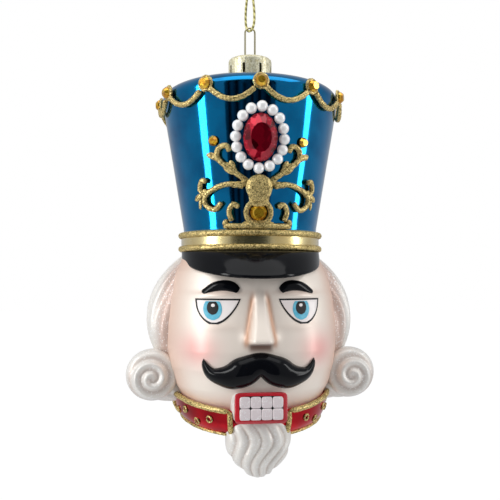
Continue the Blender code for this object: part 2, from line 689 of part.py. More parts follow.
def scrolls(parts):
    """The piped scrolls on each side of the crest, as mirrored strokes."""
    made = []
    gap = CLEARANCE + GLITTER_D / 2
    for word, side in (("left", -1), ("right", 1)):
        root = BOSS_W / 2 + gap
        top = SCROLL_Z
        upper = [(root, top + 2.2 * MM), (8.6 * MM, top + 5.0 * MM), (12.3 * MM, top + 8.0 * MM),
                 (12.4 * MM, top + 11.0 * MM), (10.0 * MM, top + 12.0 * MM),
                 (8.9 * MM, top + 10.2 * MM)]
        spike = [(12.3 * MM, top + 8.0 * MM), (13.8 * MM, top + 8.7 * MM), (15.3 * MM, top + 9.2 * MM)]
        arm = stroke(f"scroll_upper_{word}", upper, parts, side)
        made.append(combine(arm, [stroke("spike", spike, parts, side)], "UNION"))
        fall = (top - BAR_Z) / 12.0
        reach = [(root, top - 0.3 * fall), (8.5 * MM, top + 0.6 * fall), (13.0 * MM, top - 0.4 * fall),
                 (16.6 * MM, top - 2.6 * fall), (16.4 * MM, top - 5.4 * fall),
                 (13.4 * MM, top - 7.0 * fall), (11.2 * MM, top - 5.0 * fall)]
        tendril = [(16.6 * MM, top - 2.6 * fall), (18.6 * MM, top - 0.6 * MM),
                   (17.8 * MM, top + 2.0 * MM), (16.4 * MM, top + 1.6 * MM)]
        arm = stroke(f"scroll_side_{word}", reach, parts, side)
        made.append(combine(arm, [stroke("tendril", tendril, parts, side)], "UNION"))
        foot = BAR_Z + GLITTER_D + CLEARANCE
        low = [(7.9 * MM, foot), (8.8 * MM, foot + 2.6 * MM), (7.6 * MM, foot + 4.8 * MM),
               (5.9 * MM, foot + 4.0 * MM)]
        made.append(stroke(f"scroll_lower_{word}", low, parts, side))
    return made


def band_line(name, height, parts):
    """A glitter line round the gold band, half round outwards."""
    inner = HAT_BASE_D / 2 + BAND_PROUD + CLEARANCE
    half = BAND_LINE_H / 2
    profile = [(inner, height + half), (inner + BAND_LINE_T * 0.75, height + half * 0.6),
               (inner + BAND_LINE_T, height), (inner + BAND_LINE_T * 0.75, height - half * 0.6),
               (inner, height - half)]
    return turned(name, profile, 40, parts, closed=True)


def collar_trim(side, parts):
    """The glitter line along the collar's lower front edge, on one side of the beard."""
    word = "left" if side < 0 else "right"
    tilt = Matrix.Rotation(COLLAR_TILT, 4, "X")
    start = math.asin((BEARD_W / 2 + GLITTER_D / 2 + CLEARANCE) / (COLLAR_D / 2))
    points = []
    for step in range(9):
        angle = start + (math.radians(76) - start) * step / 8
        radius = COLLAR_D / 2 - 1.2 * MM + CLEARANCE + GLITTER_D / 2
        spot = Vector((side * radius * math.sin(angle), -radius * math.cos(angle),
                       -COLLAR_H / 2 * 0.55))
        points.append(tilt @ spot + Vector((0.0, 0.0, COLLAR_Z)))
    return tube(f"collar_trim_{word}", points, GLITTER_D, parts)


# ---------------------------------------------------------------- the whole ornament
def paint(objects, finish):
    for made in objects:
        made.data.materials.clear()
        made.data.materials.append(finish)
        made.data.shade_smooth()
        made.data.set_sharp_from_angle(angle=math.radians(35))


def hang_from(name, point, pieces, collection):
    """Parents pieces to an empty that marks the axis they move on."""
    pivot = add_object(name, None, collection)
    pivot.location = point
    for piece in pieces:
        piece.parent = pivot
        piece.matrix_parent_inverse = Matrix.Translation(point).inverted()


def build():
    clear_scene()
    parts = new_collection("nutcracker_ornament")
    enamel = material("blue_lacquered_glass", (0.004, 0.14, 0.33), 0.08, 0.8)
    glitter = material("gold_glitter", (0.36, 0.25, 0.07), 0.6, 0.6)
    amber = material("amber_rhinestone", (0.80, 0.35, 0.02), 0.05)
    ruby = material("ruby_glass", (0.35, 0.0, 0.02), 0.05)
    pearl = material("white_bead", (0.88, 0.86, 0.82), 0.3)
    brass = material("pale_brass", (0.68, 0.60, 0.36), 0.25, 1.0)
    thread = material("gold_thread", (0.62, 0.58, 0.25), 0.6, 0.3)

    paint([glass_shell(parts)], enamel)
    metal_cap = cap(parts)
    wire = hanger_wire(parts)
    paint([metal_cap, wire], brass)
    cord = [hanging_thread(parts), thread_knot(parts)]
    paint(cord, thread)
    paint(stones(parts), amber)
    paint([ruby_gem(parts)], ruby)
    paint(pearls(parts), pearl)
    trim = [swag(index, parts) for index in range(STONE_COUNT)]
    trim.append(crest_column(parts))
    trim += scrolls(parts)
    inset = BAND_LINE_H / 2 + 0.2 * MM
    trim.append(band_line("band_line_top", BAND_TOP_Z - inset, parts))
    trim.append(band_line("band_line_bottom", BAND_BOTTOM_Z + inset, parts))
    trim += [collar_trim(-1, parts), collar_trim(1, parts)]
    paint(trim, glitter)

    hang_from("cap_axis", (0.0, 0.0, CAP_TOP_Z), [metal_cap], parts)
    hang_from("wire_axis", (0.0, 0.0, CAP_TOP_Z), [wire], parts)
    hang_from("thread_axis", (0.0, 0.0, WIRE_D / 2), cord, parts)


build()
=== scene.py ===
# %% [markdown]
# A mouth-blown hanging decoration: the head of a nutcracker soldier in a tall hat. The real one is a thin glass
# bubble, silvered inside and lacquered outside, with glitter, beads and stones glued on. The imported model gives
# the sizes; this notebook gives each surface its relief and its finish.

# %% Load the frame
import math

import bmesh
import bpy
from mathutils import Matrix, Vector, noise


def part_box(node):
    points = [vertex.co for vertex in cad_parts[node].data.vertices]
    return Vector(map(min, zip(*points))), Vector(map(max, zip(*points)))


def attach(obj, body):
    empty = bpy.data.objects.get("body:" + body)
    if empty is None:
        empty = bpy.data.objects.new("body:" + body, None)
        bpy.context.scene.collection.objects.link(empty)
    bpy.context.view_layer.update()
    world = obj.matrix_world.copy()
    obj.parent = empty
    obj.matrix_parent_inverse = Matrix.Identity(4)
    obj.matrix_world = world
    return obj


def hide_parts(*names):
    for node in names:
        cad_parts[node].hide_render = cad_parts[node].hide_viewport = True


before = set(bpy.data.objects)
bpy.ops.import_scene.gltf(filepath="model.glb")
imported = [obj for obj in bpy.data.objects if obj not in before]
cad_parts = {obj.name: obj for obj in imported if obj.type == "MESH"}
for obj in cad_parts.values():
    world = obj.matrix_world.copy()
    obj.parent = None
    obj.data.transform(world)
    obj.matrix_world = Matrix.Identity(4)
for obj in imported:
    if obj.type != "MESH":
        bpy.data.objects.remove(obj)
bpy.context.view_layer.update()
MM = 0.001

# %% [markdown]
# The camera stands a quarter of a metre away and a few degrees to the left of the face, level with the eyes. A
# short distance like this is what makes the hat's rim wide and its base narrow.

# %% Camera
scene = bpy.context.scene
scene.view_settings.view_transform = "Standard"
turn = math.radians(6.3)
camera_data = bpy.data.cameras.new("camera")
camera_data.lens = 50.4
camera_data.sensor_width = 36.0
camera_data.shift_y = 0.048
camera_data.clip_start = 0.01
camera = bpy.data.objects.new("camera", camera_data)
camera.location = (-0.236 * math.sin(turn), -0.236 * math.cos(turn), -0.0826)
camera.rotation_euler = (math.pi / 2, 0.0, -turn)
scene.collection.objects.link(camera)
scene.camera = camera
print("camera", tuple(round(v, 4) for v in camera.location))

# %% [markdown]
# A material is a small graph of nodes. One helper adds a node, sets it and links it, and another turns the
# familiar sRGB hex colour into the linear numbers that shaders use.

# %% Material helpers
def linear(code):
    parts = [int(code[i:i + 2], 16) / 255 for i in (1, 3, 5)]
    return [c / 12.92 if c <= 0.04045 else ((c + 0.055) / 1.055) ** 2.4 for c in parts] + [1.0]


def node(tree, kind, inputs=None, links=None, **settings):
    made = tree.nodes.new(kind)
    for key, value in settings.items():
        setattr(made, key, value)
    for key, value in (inputs or {}).items():
        made.inputs[key].default_value = value
    for key, source in (links or {}).items():
        tree.links.new(source, made.inputs[key])
    return made


def material(name):
    made = bpy.data.materials.new(name)
    made.use_nodes = True
    made.node_tree.nodes.clear()
    return made, made.node_tree


def surface(tree, inputs, links=None):
    shader = node(tree, "ShaderNodeBsdfPrincipled", inputs, links)
    node(tree, "ShaderNodeOutputMaterial", links={"Surface": shader.outputs[0]})
    return shader


# %% [markdown]
# Glitter is tiny flakes of metallised film in clear glue. Each flake lies at its own angle, so some flash and
# some stay dark. Real flakes are 0.2 mm across; Voronoi cells of 0.26 mm give each one its own tone, from dark to
# bright, which paints that flash into the colour as painted glints, and a bump makes the crust.

# %% Glitter and metals
def glitter(name, dark, bright, flake=0.28, metallic=0.85, roughness=0.34, bump=0.5):
    made, tree = material(name)
    place = node(tree, "ShaderNodeTexCoord")
    cells = node(tree, "ShaderNodeTexVoronoi", {"Scale": 1 / (flake * MM)},
                 {"Vector": place.outputs["Object"]})
    tone = node(tree, "ShaderNodeSeparateColor", links={"Color": cells.outputs["Color"]})
    # painted glints: each flake's dark-to-bright tone stands in for its flash
    ramp = node(tree, "ShaderNodeValToRGB", links={"Fac": tone.outputs[0]})
    ramp.color_ramp.elements[0].color = linear(dark)
    ramp.color_ramp.elements[1].color = linear(bright)
    ramp.color_ramp.elements[1].position = 0.8
    rough = node(tree, "ShaderNodeMapRange", {"To Min": roughness - 0.14, "To Max": roughness + 0.2},
                 {"Value": tone.outputs[1]})
    relief = node(tree, "ShaderNodeBump", {"Strength": bump, "Distance": 0.12 * MM},
                  {"Height": tone.outputs[2]})
    surface(tree, {"Metallic": metallic},
            {"Base Color": ramp.outputs[0], "Roughness": rough.outputs[0], "Normal": relief.outputs[0]})
    return made


GLITTER = glitter("gold_film_glitter_in_glue", "#64501E", "#F2DA94", 0.26, 0.7, 0.4)
CAP_METAL = glitter("champagne_lacquered_pressed_cap", "#CDC396", "#F4EED2", 0.35, 0.55, 0.4, 0.25)


def mirror(name, colour, dark, roughness, metallic=1.0, blotch=9.0, coat=1.0, shine=0.5, ior=1.5):
    made, tree = material(name)
    place = node(tree, "ShaderNodeTexCoord")
    cloud = node(tree, "ShaderNodeTexNoise", {"Scale": 1 / (blotch * MM), "Detail": 3.0},
                 {"Vector": place.outputs["Object"]})
    ramp = node(tree, "ShaderNodeValToRGB", links={"Fac": cloud.outputs[0]})
    ramp.color_ramp.elements[0].color = linear(dark)
    ramp.color_ramp.elements[0].position = 0.3
    ramp.color_ramp.elements[1].color = linear(colour)
    ramp.color_ramp.elements[1].position = 0.6
    relief = node(tree, "ShaderNodeBump", {"Strength": 0.12, "Distance": 0.25 * MM},
                  {"Height": cloud.outputs[0]})
    surface(tree, {"Metallic": metallic, "Roughness": roughness, "Coat Weight": coat,
                   "Coat Roughness": 0.03, "Specular IOR Level": shine, "IOR": ior},
            {"Base Color": ramp.outputs[0], "Normal": relief.outputs[0]})
    return made


BLUE_GLASS = mirror("silvered_glass_under_blue_lacquer", "#0080B8", "#00689E", 0.09, coat=0.2)
GOLD_GLASS = mirror("silvered_glass_under_gold_lacquer", "#F2DFA4", "#E4C884", 0.26)
RED_GLASS = mirror("silvered_glass_under_red_lacquer", "#D20E20", "#960A1A", 0.12, coat=0.3)
WIRE_STEEL = mirror("drawn_brassed_spring_wire", "#D8CFA8", "#B8AC80", 0.25, coat=0.0)
ENAMEL = mirror("black_gloss_enamel", "#0B0C10", "#060709", 0.11, metallic=0.0, coat=0.0, shine=0.4, ior=1.28)
LINE_BLACK = mirror("black_satin_brush_line", "#0A0A0C", "#060607", 0.55, metallic=0.0, coat=0.0)
RED_ENAMEL = mirror("red_gloss_enamel", "#C4202E", "#A81624", 0.22, metallic=0.0, coat=0.6)
IRIS_ENAMEL = mirror("pale_blue_enamel", "#6CC4DC", "#4FB2D2", 0.25, metallic=0.0, blotch=1.2, coat=0.4)
EYE_ENAMEL = mirror("white_satin_enamel", "#F6EFEC", "#EFE4E0", 0.35, metallic=0.0, coat=0.3)
print("metals and enamels", len(bpy.data.materials))

# %% [markdown]
# Pearl paint is mica in a white base with fine clear glitter on top. A light sheen and a fine sparkle bump say
# that, and white specks mixed into the colour are painted glints of the glitter. The airbrushed tones and the
# painted shade are painted as a colour attribute on the mesh, so they stay where they are sprayed.

# %% Pearl paints with airbrush and painted shade
def pearl(name, base, sparkle=0.35, grit=0.3, roughness=0.34, glint_share=0.35):
    made, tree = material(name)
    place = node(tree, "ShaderNodeTexCoord")
    # the colour attribute holds the airbrushed tones and the painted shade
    spray_and_shade = node(tree, "ShaderNodeAttribute", attribute_name="airbrush_and_painted_shade")
    cells = node(tree, "ShaderNodeTexVoronoi", {"Scale": 1 / (grit * MM)},
                 {"Vector": place.outputs["Object"]})
    tone = node(tree, "ShaderNodeSeparateColor", links={"Color": cells.outputs["Color"]})
    flash = node(tree, "ShaderNodeMapRange", {"From Min": 0.86, "From Max": 0.97, "To Max": glint_share},
                 {"Value": tone.outputs[0]})
    # in a colour mix, input 0 is the share, 6 and 7 are the two colours, and output 2 is the result
    tint = node(tree, "ShaderNodeMix", {6: linear(base)},
                {0: spray_and_shade.outputs["Alpha"], 7: spray_and_shade.outputs["Color"]}, data_type="RGBA")
    # painted glints: white mixed into the brightest glitter cells
    glinted = node(tree, "ShaderNodeMix", {7: linear("#FFFFFF")},
                   {0: flash.outputs[0], 6: tint.outputs[2]}, data_type="RGBA")
    relief = node(tree, "ShaderNodeBump", {"Strength": sparkle, "Distance": 0.1 * MM},
                  {"Height": tone.outputs[1]})
    surface(tree, {"Roughness": roughness, "Metallic": 0.16, "Coat Weight": 0.4,
                   "Coat Roughness": 0.46, "Sheen Weight": 0.15},
            {"Base Color": glinted.outputs[2], "Normal": relief.outputs[0]})
    return made


SKIN = pearl("pearl_flesh_lacquer_airbrushed_with_painted_shade", "#F5E9DC", 0.02, 0.5, 0.4, 0.0)
HAIR = pearl("pearl_white_lacquer_with_fine_glitter", "#EBE7E0", 0.55, 0.32, 0.36, 0.6)
TEETH = pearl("iridescent_white_glitter_paint", "#E8DCDD", 0.6, 0.28, 0.4, 0.6)
BEADS = pearl("pearlised_acrylic_bead", "#FBFAF8", 0.03, 0.6, 0.2, 0.0)


# %% [markdown]
# The stones are moulded acrylic on a foil back. Light goes in, strikes the facets behind and comes out coloured,
# so a metallic base under a clear coat looks deeper than paint; its dark and bright cells are painted reflections
# of those inner facets.

# %% Foil-backed stones
def stone(name, dark, bright, facet):
    made, tree = material(name)
    place = node(tree, "ShaderNodeTexCoord")
    cells = node(tree, "ShaderNodeTexVoronoi", {"Scale": 1 / (facet * MM)},
                 {"Vector": place.outputs["Object"]}, feature="F1")
    tone = node(tree, "ShaderNodeSeparateColor", links={"Color": cells.outputs["Color"]})
    # painted reflections of the inner facets, dark and bright
    ramp = node(tree, "ShaderNodeValToRGB", links={"Fac": tone.outputs[0]})
    ramp.color_ramp.elements[0].color = linear(dark)
    ramp.color_ramp.elements[1].color = linear(bright)
    surface(tree, {"Metallic": 0.75, "Roughness": 0.14, "Coat Weight": 0.6, "Coat Roughness": 0.02,
                   "IOR": 1.49},
            {"Base Color": ramp.outputs[0]})
    return made


RUBY = stone("ruby_acrylic_on_foil", "#560010", "#C80A2E", 2.4)
AMBER = stone("amber_acrylic_on_foil", "#C07A08", "#F7CB3C", 0.9)

# %% [markdown]
# The hanging thread is a two-ply twist of metallic yarn, 0.8 mm thick. A slanting wave along it draws the ply, as a
# bump and as painted shade, darker in the grooves between the plies.

# %% Thread material and the thread itself
THREAD, tree = material("twisted_metallic_gold_yarn")
place = node(tree, "ShaderNodeTexCoord")
slant = node(tree, "ShaderNodeMapping", {"Rotation": (0.0, 0.9, 0.5)}, {"Vector": place.outputs["Object"]})
ply = node(tree, "ShaderNodeTexWave", {"Scale": 0.25 / MM, "Distortion": 0.4}, {"Vector": slant.outputs[0]})
# painted shade: darker in the grooves between the plies, lighter on their crests
ramp = node(tree, "ShaderNodeValToRGB", links={"Fac": ply.outputs[1]})
ramp.color_ramp.elements[0].color = linear("#8A7E34")
ramp.color_ramp.elements[1].color = linear("#E6DF9A")
relief = node(tree, "ShaderNodeBump", {"Strength": 0.8, "Distance": 0.2 * MM}, {"Height": ply.outputs[1]})
surface(tree, {"Metallic": 0.4, "Roughness": 0.45}, {"Base Color": ramp.outputs[0], "Normal": relief.outputs[0]})

front = [(0.5, 0.0, 14.4), (0.9, -0.15, 11.0), (1.35, -0.5, 6.5), (1.35, -1.1, 3.0), (1.1, -1.35, 1.0),
         (0.6, -0.8, -0.4)]
route = front + [(0.0, 0.0, -0.7)] + [(-x, -y, z) for x, y, z in reversed(front)]


def between(rows, share):
    """A smooth value along a list of rows, at a share from 0 to 1 of the way."""
    place = max(0.0, min(0.999999, share)) * (len(rows) - 1)
    i = int(place)
    t = place - i
    a, b, c, d = (rows[max(0, min(len(rows) - 1, i + k))] for k in (-1, 0, 1, 2))
    return tuple(0.5 * (2 * q + (r - p) * t + (2 * p - 5 * q + 4 * r - s) * t * t
                        + (3 * q - p - 3 * r + s) * t ** 3) for p, q, r, s in zip(a, b, c, d))


points = [between(route, i / 36) for i in range(37)]
curve = bpy.data.curves.new("thread", "CURVE")
curve.dimensions = "3D"
spline = curve.splines.new("POLY")
spline.points.add(len(points) - 1)
for spot, at in zip(spline.points, points):
    spot.co = (at[0] * MM, at[1] * MM, at[2] * MM, 1.0)
curve.bevel_depth = 0.4 * MM
curve.bevel_resolution = 5
curve.use_fill_caps = True
curve.materials.append(THREAD)
thread = bpy.data.objects.new("gold_thread_loop", curve)
scene.collection.objects.link(thread)
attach(thread, "thread")
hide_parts("hanging_thread")


# %% [markdown]
# Nearly every piece starts from a ball of vertices that is then pushed into shape, as clay is. One helper makes
# the ball and moves each vertex; another closes the work: normals out, smooth shading, a body and a slot.

# %% Piece helpers
def finished(name, shape, finish, body="glass", smooth=True, spray_and_shade=None):
    bmesh.ops.recalc_face_normals(shape, faces=shape.faces)
    mesh = bpy.data.meshes.new(name)
    for face in shape.faces:
        face.smooth = smooth
    shape.to_mesh(mesh)
    shape.free()
    # per-vertex airbrushed tones and painted shade
    paint = mesh.attributes.new("airbrush_and_painted_shade", "FLOAT_COLOR", "POINT")
    tones = []
    for v in mesh.vertices:
        tones += spray_and_shade(v.co / MM) if spray_and_shade else [1.0, 1.0, 1.0, 0.0]
    paint.data.foreach_set("color", tones)
    mesh.materials.append(finish)
    piece = bpy.data.objects.new(name, mesh)
    scene.collection.objects.link(piece)
    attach(piece, body)
    print(name, len(mesh.polygons), "faces")
    return piece


def ball(around, along, move, poles="z"):
    shape = bmesh.new()
    bmesh.ops.create_uvsphere(shape, u_segments=around, v_segments=along, radius=1.0)
    if poles == "y":
        bmesh.ops.rotate(shape, cent=(0, 0, 0), matrix=Matrix.Rotation(math.pi / 2, 3, "X"), verts=shape.verts)
    for v in shape.verts:
        v.co = Vector(move(v.co.copy())) * MM
    return shape


def ruffled(shape, height):
    """Moves each vertex along its normal by height(place in mm)."""
    bmesh.ops.recalc_face_normals(shape, faces=shape.faces)
    shape.normal_update()
    moves = [(v, v.normal * height(v.co / MM) * MM) for v in shape.verts]
    for v, step in moves:
        v.co += step
    return shape


def blend_in(value, low, high):
    t = max(0.0, min(1.0, (value - low) / (high - low)))
    return t * t * (3 - 2 * t)


def power(value, exponent):
    return math.copysign(abs(value) ** exponent, value)


def mixed(*layers):
    """Airbrushed layers and painted shade, each a hex colour and a share, laid over one another, as colour and cover.
    """
    colour, cover = [1.0, 1.0, 1.0], 0.0
    for code, share in layers:
        share = max(0.0, min(1.0, share))
        total = cover + share - cover * share
        if total > 0:
            colour = [(c * cover * (1 - share) + n * share) / total for c, n in zip(colour, linear(code))]
        cover = total
    return colour + [cover]


def turned(profile, steps=192):
    """A profile of (radius, height) in mm, spun about Z."""
    shape = bmesh.new()
    spots = [shape.verts.new((r * MM, 0.0, z * MM)) for r, z in profile]
    edges = [shape.edges.new(pair) for pair in zip(spots, spots[1:])]
    bmesh.ops.spin(shape, geom=spots + edges, cent=(0, 0, 0), axis=(0, 0, 1), angle=math.tau, steps=steps,
                   use_merge=True)
    bmesh.ops.remove_doubles(shape, verts=shape.verts, dist=1e-6)
    return shape


# %% [markdown]
# The hat is a tapered drum blown in a mould. Its wall is a little wavy, which is what bends the reflections
# into streaks, so a slow ripple is pressed into the spun wall.

# %% Hat and band
hat_profile = [(0.0, -18.6), (6.6, -18.7), (9.0, -18.9), (14.0, -19.5), (19.0, -20.3), (23.0, -21.1),
               (26.0, -22.0), (27.8, -23.0), (28.9, -24.2), (29.4, -25.6)]
hat_profile += [(29.4 - 7.3 * i / 30, -25.6 - 43.2 * i / 30) for i in range(1, 31)]
hat_profile += [(21.0, -69.6), (0.0, -69.6)]
hat = turned([between(hat_profile, i / 120) for i in range(121)])
for v in hat.verts:
    r = math.hypot(v.co.x, v.co.y)
    if r > 0.015:
        wave = noise.noise(Vector((v.co.x * 75, v.co.y * 75, v.co.z * 42)))
        v.co.xy *= 1 - 0.0048 * (1 + wave)
hat_piece = finished("hat", hat, BLUE_GLASS)
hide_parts("glass_shell")

band = turned([between([(20.0, -68.6), (22.0, -68.7), (22.7, -69.4), (23.0, -71.0), (23.05, -72.2), (23.0, -73.6),
                        (22.7, -75.0), (22.0, -75.8), (20.0, -75.9)], i / 40) for i in range(41)])
bmesh.ops.holes_fill(band, edges=[e for e in band.edges if e.is_boundary], sides=0)
finished("hat_band", band, GOLD_GLASS)

neck = turned([(0.0, -12.0), (5.6, -12.0), (6.0, -12.4), (6.0, -18.4), (7.4, -19.1), (0.0, -19.2)], 64)
finished("neck", neck, GOLD_GLASS)


# %% [markdown]
# The visor is one soft lip of black enamel, deepest at the front and running out at the temples. A ring of ball
# vertices becomes its section: a rounded ridge by the band, then a slope down to a thick edge.

# %% Visor
section = [(-2.0, 0.2), (1.2, -0.3), (3.2, -0.9), (5.4, -2.6), (7.8, -5.0), (9.6, -7.0), (10.5, -8.1), (10.3, -8.8),
           (9.2, -8.7), (6.5, -6.6), (3.5, -4.4), (0.6, -3.4), (-2.0, -3.2), (-2.0, 0.2)]


def visor_place(unit):
    side = max(-1.0, min(1.0, math.asin(max(-1, min(1, unit.z))) / (math.pi / 2)))
    reach = max(0.0, math.cos(side * math.pi / 2)) ** 0.85
    out, drop = between(section, (math.atan2(unit.y, unit.x) / math.tau) % 1.0)
    close = min(1.0, math.hypot(unit.x, unit.y) / 0.08)
    angle = side * math.radians(92)
    lip = (out * reach + 0.6 * (1 - reach)) * close
    bulge = 22.9 + 0.03 * lip
    return (bulge * math.sin(angle), -bulge * math.cos(angle) - 0.95 * lip * max(0.0, math.cos(angle)) ** 0.5,
            -75.1 + drop * (0.14 + 0.86 * reach) * close)


finished("visor", ball(96, 140, visor_place), ENAMEL)

# %% [markdown]
# The face is widest at the cheeks and narrows to the jaw. Rows of half-width and depth describe it, and a few
# soft pushes raise the nose, the lids and the cheeks. The same function later lays the eyes and brows on it.

# %% Face form
ROWS = [(-66, 17, 17), (-72, 19.5, 20.2), (-76, 22, 22.4), (-82, 25.3, 25.2), (-90, 27.3, 27), (-98, 28.2, 28.3),
        (-106, 28.2, 29.3), (-112, 27.4, 29.3), (-118, 25.6, 28.3), (-124, 22.4, 26), (-130, 16, 20.5)]


def size_at(z):
    for (z1, w1, d1), (z2, w2, d2) in zip(ROWS, ROWS[1:]):
        if z >= z2:
            t = max(0.0, min(1.0, (z1 - z) / (z1 - z2)))
            t = t + 0.15 * math.sin(math.tau * t) / math.tau
            return w1 + (w2 - w1) * t, d1 + (d2 - d1) * t
    return ROWS[-1][1:]


def soft_spot(x, z, cx, cz, sx, sz):
    return math.exp(-((abs(x) - cx) / sx) ** 2 - ((z - cz) / sz) ** 2)


def push(x, z):
    """How far the features stand out of the plain face, in mm."""
    down = max(0.0, min(1.0, (-87.0 - z) / 15.5))
    flat = 0.6 + 1.6 * down
    slope = 1.1 + 1.4 * down
    nose = (0.5 + 5.4 * down ** 1.2) * (1 - blend_in(abs(x), flat, flat + slope))
    nose *= blend_in(z, -104.2, -102.4) * (1 - blend_in(z, -89.6, -86.4))
    lid = 1.25 * soft_spot(x, z, 12.6, -89.1, 6.8, 1.1) - 0.5 * soft_spot(x, z, 12.4, -93.2, 6.0, 3.2)
    bag = 0.35 * soft_spot(x, z, 12.4, -98.6, 5.0, 1.2)
    cheek = 0.8 * soft_spot(x, z, 17.0, -105.0, 6.0, 5.5)
    wing = 0.9 * soft_spot(x, z, 4.2, -101.6, 1.5, 1.8)
    brow = 0.5 * soft_spot(x, z, 11.0, -86.2, 7.0, 2.2)
    return nose + lid + bag + cheek + wing + brow


def face_y(x, z):
    w, d = size_at(z)
    return -d * max(0.0, 1 - min(1.0, abs(x / w)) ** 2.2) ** (1 / 2.2) - push(x, z)


def face_place(unit):
    ring = math.hypot(unit.x, unit.y)
    close = min(1.0, ring / 0.25)
    z = -98.5 - 31.5 * max(-1.0, min(1.0, -unit.z / 0.968))
    w, d = size_at(z)
    c, s = unit.x / max(ring, 1e-9), unit.y / max(ring, 1e-9)
    x = w * power(c, 2 / 2.2) * close
    if s < 0:
        return (x, -d * abs(s) ** (2 / 2.2) * close - push(x, z) * close, z)
    return (x, 12.0 * s * close, z)


# The face's colour attribute: the ornament's airbrushed tones, with painted shade laid over them.
def face_tones_and_shade(at):
    x, y, z = at
    w, d = size_at(z)
    # rim: the airbrushed edge tone with painted shade added, heavier on the right side, away from the stronger left
    # lamp
    rim_tone_and_shade = blend_in(abs(x) / w, 0.70, 1.0) * (0.6 if x < 0 else 0.85)
    blush = 0.72 * soft_spot(x, z, 18.4, -105.4, 5.4, 5.0)
    # low: darker and redder towards the bottom of the jaw, above the collar
    low = 0.6 * blend_in(-z, 117.0, 126.0)
    down = max(0.0, min(1.0, (-86.0 - z) / 16.0))
    edge = 1.8 + 2.5 * down
    # painted shade in the creases along both sides of the nose
    nose_side_shade = 0.9 * math.exp(-((abs(x) - edge) / 0.8) ** 2) * blend_in(-z, 86.5, 91.0) * blend_in(z, -105.5, -103.0)
    # painted shade on the underside of the nose
    under_nose_shade = 0.85 * (1 - blend_in(abs(x), 2.6, 4.2)) * blend_in(-z, 102.7, 103.5) * blend_in(z, -106.5, -104.5)
    # painted shade in the eye sockets, along the lid fold and under the eyes
    eye_socket_shade = 0.42 * soft_spot(x, z, 12.4, -88.2, 7.5, 0.9) + 0.16 * soft_spot(x, z, 12.4, -98.2, 5.5, 1.6)
    # painted shadow of the visor across the top of the forehead
    shade = 0.4 * blend_in(z, -84.5, -77.0)
    return mixed(("#C9A48E", shade), ("#DCAA8E", rim_tone_and_shade), ("#F09A94", blush), ("#D88A72", low), ("#C48A62", nose_side_shade),
                 ("#6E4028", under_nose_shade), ("#C79A82", eye_socket_shade))


finished("face", ball(320, 200, face_place), SKIN, spray_and_shade=face_tones_and_shade)

# %% [markdown]
# The hair is a shell behind the face with combed strands, and a rolled lock stands at each side with its end
# facing forward like a snail. A ball with flattened front makes the first, and a spiral ridge the second.

# %% Hair
def hair_place(unit):
    ring = max(1e-9, math.hypot(unit.x, unit.z))
    n = 3.4 if unit.y < 0 else 2.3
    fullness = (1 - min(1.0, abs(unit.y)) ** n) ** (1 / n)
    depth = 15.0 if unit.y < 0 else 26.5
    return (34.3 * fullness * unit.x / ring, 4.0 + depth * unit.y, -97.4 + 27.4 * fullness * unit.z / ring)


def strands(at):
    x, y, z = at
    around = math.atan2(z + 97.4, x)
    sway = 1.6 * math.sin(around * 3.0 + y * 0.08)
    out = math.hypot(x / 34.3, (z + 97.4) / 27.4)
    phase = (y + sway) * 1.75 if y > -9.5 else out * 42.0 + sway
    back = blend_in(y, 9.0, 15.0)
    down = math.cos(x * 1.5 + 1.3 * math.sin((z + 97.4) * 0.11))
    return 0.32 * math.cos(phase) * blend_in(out, 0.2, 0.5) * (1 - back) + 0.36 * down * back


def hair_tone_and_shade(at):
    x, y, z = at
    w, d = size_at(z)
    near = 1 - blend_in(abs(x), w + 0.8, w + 4.6)
    front = 1 - blend_in(y, -8.0, 2.0)
    # brown-pink beside the face: the ornament's airbrush there, deepened by painted shade in the groove between hair
    # and face
    return mixed(("#C4A292", 0.85 * near * front * blend_in(-z, 74.0, 80.0)))


finished("hair", ruffled(ball(300, 190, hair_place, "y"), strands), HAIR, spray_and_shade=hair_tone_and_shade)

for word, side in (("left", -1), ("right", 1)):
    def curl_place(unit, side=side):
        ring = max(1e-9, math.hypot(unit.x, unit.z))
        n = 2.8
        fullness = (1 - min(1.0, abs(unit.y)) ** n) ** (1 / n)
        return (side * 32.4 + 8.4 * fullness * unit.x / ring, -4.0 + 8.2 * unit.y,
                -115.6 + 8.4 * fullness * unit.z / ring)

    def spiral(at, side=side):
        x, z = (at[0] - side * 32.4) * side, at[2] + 115.6
        out = math.hypot(x, z)
        front = 1 - blend_in(at[1], -7.0, -2.0)
        phase = math.atan2(z, -x) - math.tau * out / 3.6
        ridge = 0.55 * math.cos(phase) * front * blend_in(out, 0.2, 1.6)
        return ridge + 0.14 * math.cos(at[1] * 2.6) * (1 - front) - 0.4 * front * (1 - blend_in(out, 6.5, 8.2))

    def curl_groove_shade(at, side=side):
        x, z = (at[0] - side * 32.4) * side, at[2] + 115.6
        out = math.hypot(x, z)
        groove = 0.5 - 0.5 * math.cos(math.atan2(z, -x) - math.tau * out / 3.6)
        # painted shade in the spiral groove of the curl
        return mixed(("#C2ADA0", 0.55 * groove ** 3 * (1 - blend_in(at[1], -8.0, -4.0))))

    finished("curl_" + word, ruffled(ball(160, 110, curl_place, "y"), spiral), HAIR,
             spray_and_shade=curl_groove_shade)

ROLL = [(-33.0, 0.0, -115.8), (-28.0, 13.0, -116.6), (-16.0, 23.2, -117.2), (0.0, 26.4, -117.4), (16.0, 23.2, -117.2),
        (28.0, 13.0, -116.6), (33.0, 0.0, -115.8)]


